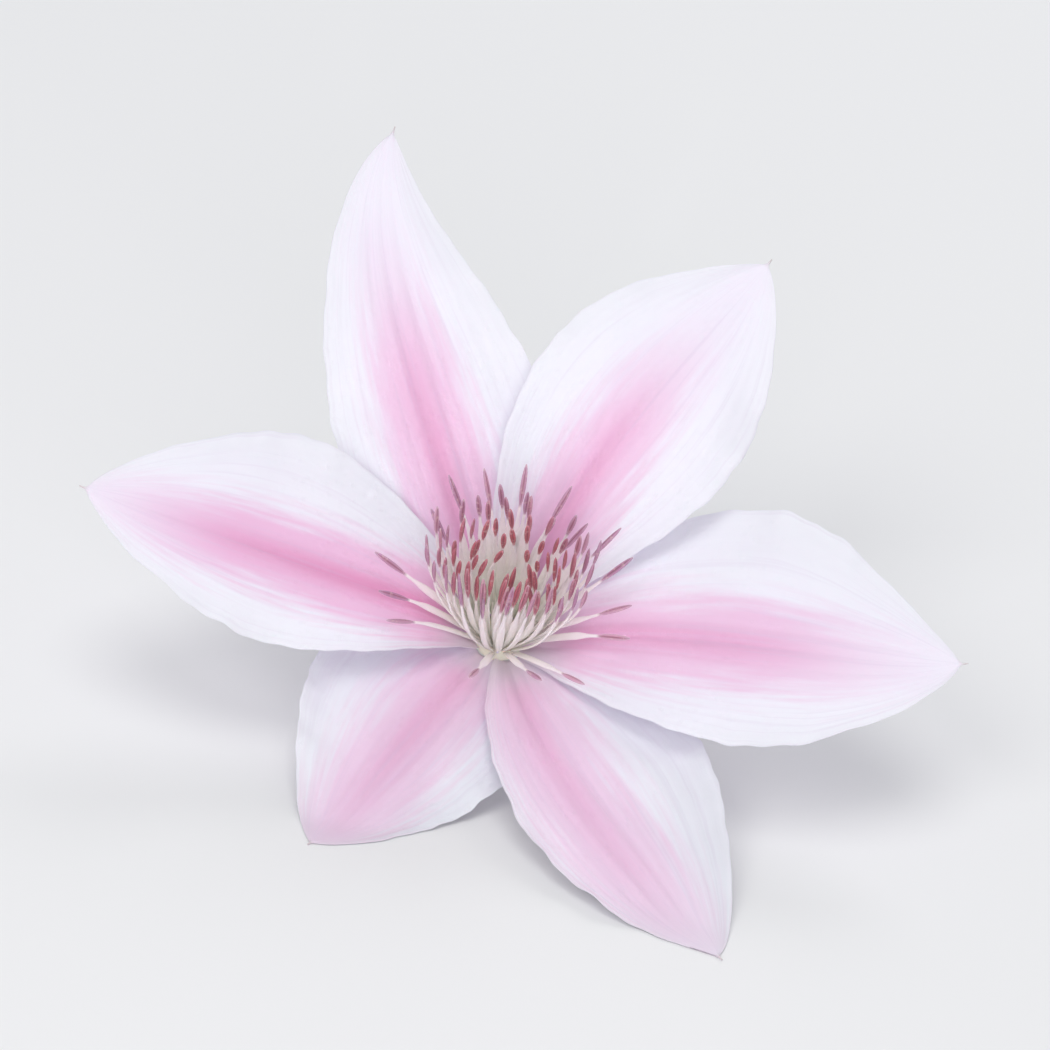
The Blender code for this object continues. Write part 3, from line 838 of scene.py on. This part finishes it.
def stamen_material():
    """Cream to pink threads, with anthers from dusky mauve outside to dark red in the middle, and
    painted shade in the grooves between their pollen sacs.
    """
    n = Nodes("stamen_fine")
    share = n.attribute("share")
    mottled = n.noise(n.place(), 1400.0, 3.0)
    thread = n.blend(n.ramp(share, 0.02, 0.35), THREAD_FOOT, THREAD_CREAM)
    thread = n.blend(n.ramp(share, 0.30, 0.68), thread, THREAD_PINK)
    own = n.noise(n.vector(n.attribute("seed"), 0.0), 1.0, 0.0)
    anther = n.blend(n.ramp(own, 0.3, 0.7), ANTHER_DARK_MAUVE, ANTHER_MAUVE)
    anther = n.blend(n.ramp(n.attribute("inner"), 0.25, 0.8), anther, ANTHER_RED)
    # Painted shade: the grooves between the pollen sacs are darkened almost to black.
    groove = n.ramp(n.attribute("groove"), 0.55, 1.0)
    anther = n.blend(n.times(groove, 0.70), anther, ANTHER_GROOVE_SHADE)
    anther = n.blend(n.times(n.ramp(mottled, 0.52, 0.72), 0.5), anther, POLLEN)
    n.bump(n.noise(n.place(), 4200.0, 2.0), 0.05 * MM, 0.5)
    n.shade(
        {
            "Base Color": n.blend(n.attribute("anther"), thread, anther),
            "Roughness": n.ramp(mottled, 0.3, 0.7, 0.45, 0.7),
            "Subsurface Weight": 0.75,
            "Subsurface Radius": (1.0, 0.85, 0.8),
            "Subsurface Scale": 2.5 * MM,
        }
    )
    return n.material


def pistil_material():
    """Silky cream styles, greener at the seed cases."""
    n = Nodes("pistils_fine")
    share = n.attribute("share")
    silk = n.noise(n.vector(n.times(share, 2.0), n.attribute("seed")), 6.0, 3.0)
    colour = n.blend(n.ramp(share, 0.05, 0.35), SEED_CASE_GREEN, STYLE_CREAM)
    colour = n.blend(n.times(n.ramp(share, 0.75, 1.0), 0.5), colour, STIGMA_BUFF)
    colour = n.blend(n.times(n.ramp(silk, 0.45, 0.65), 0.35), colour, STYLE_SILK)
    n.shade(
        {
            "Base Color": colour,
            "Roughness": n.ramp(silk, 0.3, 0.7, 0.42, 0.62),
            "Sheen Weight": 0.25,
            "Subsurface Weight": 0.8,
            "Subsurface Radius": (1.0, 0.85, 0.75),
            "Subsurface Scale": 1.5 * MM,
        }
    )
    return n.material


def stalk_material():
    """Green with a bronze flush on its ridges, and pale where the receptacle is."""
    n = Nodes("stalk_fine")
    run = n.attribute("run_mm")
    around = n.times(n.attribute("turn"), 3.0)
    streaks = n.noise(n.vector(around, n.times(run, 0.06)), 2.0, 4.0)
    spots = n.noise(n.place(), 900.0, 3.0)
    colour = n.blend(n.ramp(streaks, 0.35, 0.65), STALK_DARK_GREEN, STALK_GREEN)
    ridge = n.ramp(n.attribute("ridge"), -0.05, 0.0)
    flush = n.times(ridge, n.ramp(spots, 0.4, 0.65, 0.15, 0.65))
    colour = n.blend(n.times(flush, n.ramp(run, 10.0, 30.0)), colour, STALK_BRONZE)
    colour = n.blend(n.ramp(run, 7.5, 4.5), colour, RECEPTACLE_CREAM)
    n.bump(streaks, 0.12 * MM, 0.6)
    n.shade(
        {
            "Base Color": colour,
            "Roughness": n.ramp(spots, 0.3, 0.7, 0.42, 0.62),
            "Subsurface Weight": 0.15,
            "Subsurface Scale": 0.8 * MM,
        }
    )
    return n.material


def floor_material():
    """Plain and pale, with very faint clouds."""
    n = Nodes("floor")
    clouds = n.noise(n.place(), 3.0, 2.0)
    n.shade({"Base Color": n.blend(clouds, FLOOR_GREY, FLOOR_WHITE), "Roughness": 0.8})
    return n.material


# ---------------------------------------------------------------- stage, light and camera


def add_floor():
    """A large pale floor, which is no part of the object."""
    half = FLOOR_HALF_SIDE
    corners = [(-half, -half, 0), (half, -half, 0), (half, half, 0), (-half, half, 0)]
    mesh = bpy.data.meshes.new("floor")
    mesh.from_pydata(corners, [], [(0, 1, 2, 3)])
    mesh.materials.append(floor_material())
    floor = bpy.data.objects.new("floor", mesh)
    bpy.context.scene.collection.objects.link(floor)


def add_light(name, place, size, power, colour, target, spread=math.pi):
    """A round soft light that points at its target."""
    light = bpy.data.lights.new(name, "AREA")
    light.shape = "DISK"
    light.size = size
    light.spread = spread
    light.energy = power
    light.color = colour
    made = bpy.data.objects.new(name, light)
    made.location = place
    made.rotation_euler = (Vector(target) - made.location).to_track_quat("-Z", "Y").to_euler()
    bpy.context.scene.collection.objects.link(made)


def add_lights():
    """Soft light from all round, and a narrow beam from the front into the boss."""
    for light in LIGHTS:
        add_light(*light, tuple(MIDDLE))
    add_light(*BOSS_LIGHT, tuple(MIDDLE + AXES @ BOSS_MIDDLE), BOSS_LIGHT_SPREAD)
    world = bpy.data.worlds.new("studio")
    world.use_nodes = True
    background = world.node_tree.nodes["Background"]
    background.inputs["Color"].default_value = WORLD_COLOUR
    background.inputs["Strength"].default_value = WORLD_STRENGTH
    bpy.context.scene.world = world


def add_camera(pieces):
    """Looks down on the flower from the front. The frame is fitted round the tepals."""
    data = bpy.data.cameras.new("camera")
    data.lens = CAMERA_LENS
    data.sensor_width = SENSOR_WIDTH
    data.clip_start = 0.01
    data.clip_end = 30.0
    camera = bpy.data.objects.new("camera", data)
    bpy.context.scene.collection.objects.link(camera)
    bpy.context.scene.camera = camera
    upright = Matrix.Rotation(math.pi / 2 - CAMERA_ELEVATION, 3, "X")
    turned = upright @ Matrix.Rotation(CAMERA_ROLL, 3, "Z")
    axes = np.array(turned)
    points = [np.array([vertex.co for vertex in piece.data.vertices]) for piece in pieces]
    seen = np.vstack(points) @ axes
    low, high = seen.min(axis=0), seen.max(axis=0)
    middle = axes @ ((low + high) / 2)
    span = max(high[0] - low[0], high[1] - low[1]) / FRAME_FILL
    place = middle + axes[:, 2] * span * CAMERA_LENS / SENSOR_WIDTH
    camera.matrix_world = Matrix.Translation(Vector(place)) @ turned.to_4x4()


def main():
    tepal_finish = tepal_material()
    stamen_finish = stamen_material()
    petals = [build_tepal(tepal, tepal_finish) for tepal in TEPALS]
    for number in range(STAMEN_COUNT):
        build_stamen(number, stamen_finish)
    build_between(stamen_finish)
    build_pistils(pistil_material())
    build_stalk(stalk_material())
    add_floor()
    add_lights()
    add_camera(petals)
    bpy.context.scene.view_settings.view_transform = "Standard"


main()
